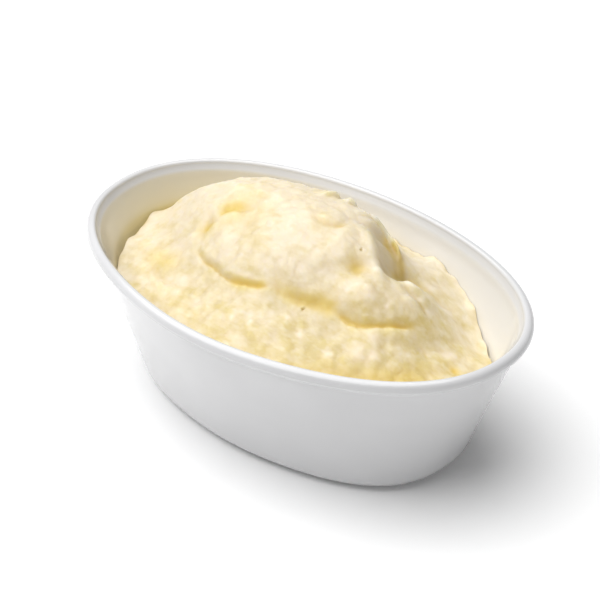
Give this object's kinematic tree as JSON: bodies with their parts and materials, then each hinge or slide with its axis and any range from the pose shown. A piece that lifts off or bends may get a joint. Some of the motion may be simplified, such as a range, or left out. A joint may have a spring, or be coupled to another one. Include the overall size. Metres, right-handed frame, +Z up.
{
  "type": "mashed potato side",
  "caption": "Helping of mashed potato, folded and heaped with a spoon, in a flared oval glazed ceramic dish with a rounded lip and a flat foot.",
  "frame": {"origin": "middle of the dish's foot, on the surface that it stands on", "axes": "+X along the length of the oval, towards the end where the mash lies lower; -Y towards the side that the folds of the heap face; +Z up"},
  "size_m": [0.1714, 0.1086, 0.0691],
  "materials": {
    "white_glaze": "gloss",
    "mashed_potato": "satin"
  },
  "bodies": {
    "root": {"dish": "white_glaze", "mash": "mashed_potato"}
  },
  "joints": []
}
